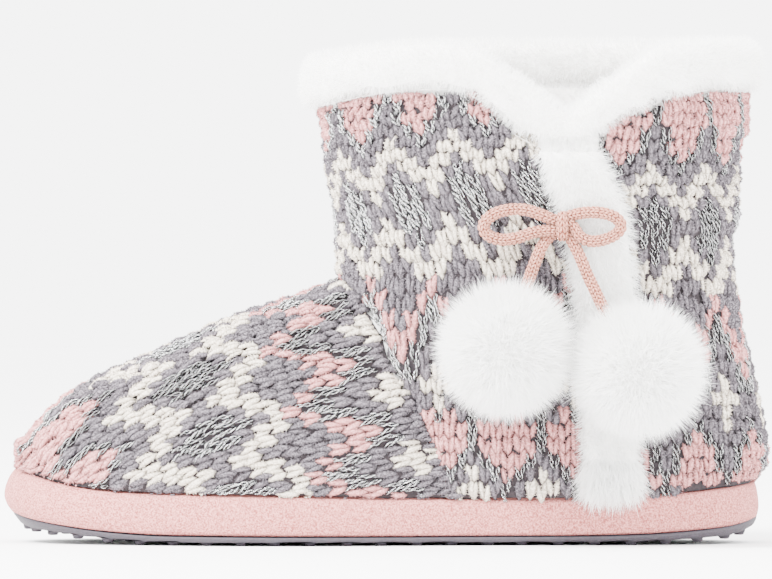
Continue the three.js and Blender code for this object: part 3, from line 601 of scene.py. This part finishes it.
def sampled(piece, count, rng, keep=None):
    """Random points on a piece's faces, with their normals."""
    mesh = piece.data
    mesh.calc_loop_triangles()
    corners = np.array([tri.vertices for tri in mesh.loop_triangles])
    points = np.array([vert.co for vert in mesh.vertices])
    normals = np.array([vert.normal for vert in mesh.vertices])
    a, b, c = (points[corners[:, k]] for k in range(3))
    area = np.linalg.norm(np.cross(b - a, c - a), axis=1)
    if keep is not None:
        area = area * keep((a + b + c) / 3)
    chosen = rng.choice(len(corners), count, p=area / area.sum())
    u, v = rng.random((2, count, 1))
    u, v = np.where(u + v > 1, 1 - u, u), np.where(u + v > 1, 1 - v, v)
    weights = (1 - u - v, u, v)
    at = sum(w * points[corners[chosen, k]] for k, w in enumerate(weights))
    out = sum(w * normals[corners[chosen, k]] for k, w in enumerate(weights))
    return at, unit(out)


def strands(name, roots, outs, length, width, rng, comb=(0, 0, 0), stray=0.45, shortest=0.7):
    """Fur fibres from roots along outs, bent a little and combed one way. Each is a tapered blade
    of three triangles. Real fibres are finer, and are drawn as coarse as they need to show."""
    count = len(roots)
    tall = length * mm * rng.uniform(shortest, 1.1, (count, 1))
    way = unit(outs + rng.normal(0, stray, (count, 3)) * 0.6 + np.asarray(comb))
    side = unit(np.cross(way, rng.normal(0, 1, (count, 3))))
    bend = rng.normal(0, 0.14, (count, 3)) * tall
    mid = roots + way * tall * 0.55
    tip = roots + way * tall + bend
    w = width * mm
    points = np.stack([roots - side * w / 2, roots + side * w / 2, mid - side * w * 0.35,
                       mid + side * w * 0.35, tip], axis=1).reshape(-1, 3)
    start = np.arange(count)[:, None] * 5
    faces = np.concatenate([start + [0, 1, 3], start + [0, 3, 2], start + [2, 3, 4]], axis=1)
    return mesh_object(name, points, faces.reshape(-1, 3).tolist(), [fur])


# Acrylic fibre is clear and white: no highlights stand out, and light glows through the pile.
fur = fur_surface("white fur", "fefefd", 0.45)
rng = np.random.default_rng(11)
cuff_base = softened("collar_fur", "cuff_base", fur_base, 1, 5, -1.3)
roots, outs = sampled(cuff_base, 42000, rng)
strands("cuff_fur", roots, outs, 3.4, 0.3, rng)


# Strip. The slit is filled with a strip of the same fur, from the cuff's dip down to the sole,
# sewn behind both edges of the knit. Its pile hangs down, longest over the band.
def on_face(points):
    return points[:, 1] < -36 * mm


def at_hem(points):
    return on_face(points) & (points[:, 2] < 30 * mm)


strip_base = softened("slit_fur", "strip_base", fur_base, 2, 3, -0.8)
roots, outs = sampled(strip_base, 16000, rng, on_face)
strands("strip_fur", roots, outs, 4.5, 0.3, rng, comb=(0, 0, -0.5))
roots, outs = sampled(strip_base, 2500, rng, at_hem)
strands("strip_end_fur", roots, outs, 8.0, 0.3, rng, comb=(0, 0, -1.5))


# Collar inside. The lining's fleece shows its pile where one looks in at the top.
def near_collar(points):
    return points[:, 2] > 100 * mm


roots, outs = sampled(leg_lining, 9000, rng, near_collar)
strands("lining_fur", roots, outs, 3.5, 0.35, rng, comb=(0, 0, -0.3))


# Pompoms. Each is a ball of long acrylic pile, tied round the end of the cord and clipped round,
# so its fibres all end at nearly one distance from the middle.
def pompom(name, node):
    """A clipped ball of fur with a plain core, in the place of a packed ball."""
    low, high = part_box(node)
    centre = (np.array(low) + np.array(high)) / 2
    fibres = 22000
    root, reach, core = 13.0, 24.8, 17.5
    outs = unit(rng.normal(0, 1, (fibres, 3)))
    roots = centre + outs * root * mm * rng.uniform(0.85, 1.0, (fibres, 1))
    ball = strands(name, roots, outs, (reach - root) * 0.96, 0.42, rng, stray=0.25,
                   shortest=0.92)
    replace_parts(ball, node)
    bpy.ops.mesh.primitive_uv_sphere_add(segments=48, ring_count=24, radius=core * mm,
                                         location=centre)
    inner = bpy.context.object
    inner.name = name + "_core"
    inner.data.materials.append(fur_base)
    bpy.ops.object.shade_smooth()
    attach(inner, "root")
    return ball, inner


left_ball = pompom("fluff_left", "pompom_left")
right_ball = pompom("fluff_right", "pompom_right")

# Bow. One tubular knitted cord of acrylic yarn, 4 mm thick, is laid in two loops with a turn
# round their crossing, and its two ends hang over the strip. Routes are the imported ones, in
# millimetres from the knot's middle: towards the heel, up and out.
knot_low, knot_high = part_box("bow_knot")
knot = (np.array(knot_low) + np.array(knot_high)) / 2
routes = {
    "bow_loop_left": [
        (-0.8, 1.2, 0), (-3.4, 2.3, 0), (-7.6, 4.0, 0.4), (-11.5, 5.3, 0.7), (-16.4, 5.7, 0.8),
        (-21.8, 4.7, 0.7), (-25.6, 2.2, 0.4), (-26.6, -0.8, 0), (-24.6, -3.4, -0.2),
        (-20.3, -4.6, 0), (-15.2, -3.9, 0.4), (-10, -2.2, 0.5), (-5.2, -1.5, 0.4), (-0.8, -1.5, 0),
    ],
    "bow_loop_right": [
        (0.8, 2.8, 0), (3.6, 3.8, 0.4), (8, 4.6, 1.2), (13.2, 4.5, 1.9), (17.8, 3.0, 1.9),
        (19.9, 0.1, 1.7), (17.9, -2.9, 1.5), (13.3, -4.8, 1.5), (8.9, -5.0, 1.4), (5.6, -3.2, 1.0),
        (3.8, -0.3, 0.5), (1.4, 1.6, 0),
    ],
    "tail_left": [
        (-1.5, -1.5, -1.2), (-5.0, -4.2, -1.0), (-7.2, -7.5, 0.2), (-9.2, -12.2, 1.6),
        (-11, -17, 3.0), (-13, -23, 5.6), (-15.4, -29, 8.2), (-17, -33, 9.8),
    ],
    "tail_right": [
        (1.2, -1.5, -1.0), (3.4, -5.2, 0), (5.8, -10, 0.6), (8.3, -16, 1.6), (11.2, -22.2, 3.6),
        (14.2, -28.6, 6.4), (17, -34.6, 9),
    ],
}


def placed(route):
    """A route's points in the frame."""
    return np.array([(knot[0] + x * mm, knot[1] - out * mm, knot[2] + up * mm)
                     for x, up, out in route])


def through(points, steps=10):
    """A smooth line through points."""
    p = np.asarray(points, dtype=float)
    p = np.concatenate([[2 * p[0] - p[1]], p, [2 * p[-1] - p[-2]]])
    t = np.linspace(0, 1, steps, endpoint=False)[:, None]
    line = []
    for a, b, c, d in zip(p, p[1:], p[2:], p[3:]):
        line.append(0.5 * (2 * b + (c - a) * t + (2 * a - 5 * b + 4 * c - d) * t ** 2
                           + (3 * b - a - 3 * c + d) * t ** 3))
    return np.concatenate(line + [p[-2:-1]])


def even(line, step):
    """The same line with points a step apart."""
    walked = np.concatenate([[0], np.cumsum(np.linalg.norm(np.diff(line, axis=0), axis=1))])
    places = np.linspace(0, walked[-1], max(4, round(walked[-1] / step)))
    return np.stack([np.interp(places, walked, line[:, k]) for k in range(3)], axis=1)


def carried_along(along, out):
    """A direction square to a line, carried along it without twist."""
    outs = []
    for way in along:
        out = out - way * np.dot(out, way)
        out = out / np.linalg.norm(out)
        outs.append(out)
    return np.array(outs)


# Acrylic yarn is smooth and round with a faint sheen. It is darkened between the stitches as painted
# shade, and its core is painted a dark salmon as painted shade seen between the stitches.
cord_yarn = surface("salmon cord", "cc917e", "ab6b57", 0.5, 0.2, painted_gap_shade=0.7, Roughness=0.9)
cord_core_shade = surface("cord core", "7c4033", "6d362b", 0.5, 0.2, Roughness=1.0)
cord_width = 4 * mm


def knitted_cord(name, line, diameter):
    """A tube of small V stitches in six wales round a core, which is coloured as painted shade."""
    wales = 6
    pitch = 1.5 * mm
    step = 0.4 * mm
    line = even(line, step)
    along = unit(np.gradient(line, axis=0))
    outs = carried_along(along, np.array([0.0, -1.0, 0.0]))
    across = np.cross(along, outs)
    radius = diameter / 2
    core = tubes(line[None], outs[None], np.full((1, len(line)), radius * 0.76), 12)
    length = step * (len(line) - 1)
    share = np.linspace(0, 1, 4)
    centres, ways = [], []
    for course in range(int(length / pitch)):
        for wale in range(wales):
            for side in (-1, 1):
                place = np.clip((course + 1.2 * share) * pitch / step, 0, len(line) - 1)
                turn = 2 * math.pi / wales * (wale + side * (0.06 + 0.4 * share))
                index = place.astype(int)
                way = (np.cos(turn)[:, None] * outs[index] + np.sin(turn)[:, None] * across[index])
                depth = radius * (0.74 + 0.16 * np.sin(math.pi * share))
                centres.append(line[index] + way * depth[:, None])
                ways.append(way)
    radii = np.tile(np.array([0.2, 0.36, 0.38, 0.24]) * mm, (len(centres), 1))
    legs = tubes(np.array(centres), np.array(ways), radii, 5)
    start = len(core[0])
    faces = core[1] + [tuple(start + i for i in face) for face in legs[1]]
    slots = [1] * len(core[1]) + [0] * len(legs[1])
    piece = mesh_object(name, np.concatenate([core[0], legs[0]]), faces, [cord_yarn, cord_core_shade],
                        slots)
    return piece


turn = np.linspace(0, 2 * math.pi, 40)
ring = np.stack([knot[0] + 0 * turn, knot[1] - 2.2 * mm * np.sin(turn),
                 knot[2] + 3.3 * mm * np.cos(turn)], axis=1)
wrap = knitted_cord("knot_wrap", ring, cord_width)
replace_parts(wrap, "bow_knot")
for node, route in routes.items():
    line = through(placed(route))
    piece = knitted_cord(node + "_cord", line, cord_width)
    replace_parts(piece, node)


# Studio. A pale floor, white surroundings, and soft light from above and from the left.
def softbox(name, place, target, size, power):
    """A square lamp that looks at a target."""
    light = bpy.data.lights.new(name, "AREA")
    light.size = size
    light.energy = power
    piece = bpy.data.objects.new(name, light)
    piece.location = place
    piece.rotation_mode = "QUATERNION"
    piece.rotation_quaternion = (Vector(target) - Vector(place)).to_track_quat("-Z", "Y")
    bpy.context.scene.collection.objects.link(piece)


bpy.ops.mesh.primitive_plane_add(size=8)
floor = bpy.context.object
floor.name = "floor"
floor.data.materials.append(surface("pale floor", "ffffff", "fefefe", 50, 0, Roughness=0.9))
world = bpy.data.worlds.new("studio")
bpy.context.scene.world = world
world.use_nodes = True
sky = world.node_tree.nodes["Background"].inputs
sky["Color"].default_value = (1, 1, 1, 1)
sky["Strength"].default_value = 6.5
softbox("key", (-1.0, -0.8, 1.6), (0, 0, 0.08), 0.7, 170)
softbox("fill", (1.1, -1.2, 0.6), (0, 0, 0.08), 1.0, 10)

# Camera. It looks nearly side-on with a long lens, framed as in the photo.
view_width = 264 * mm
sensor = 36
distance = 4.5
target = Vector((0, -5 * mm, 86.6 * mm))
tilt = math.radians(0.7)
back = Vector((0, -math.cos(tilt), math.sin(tilt)))
camera = bpy.data.cameras.new("camera")
camera.sensor_width = sensor
camera.lens = sensor * distance / view_width
camera.clip_end = 20
viewer = bpy.data.objects.new("camera", camera)
bpy.context.scene.collection.objects.link(viewer)
bpy.context.scene.camera = viewer
viewer.location = target + back * distance
viewer.rotation_mode = "QUATERNION"
viewer.rotation_quaternion = (-back).to_track_quat("-Z", "Y")

write_size()
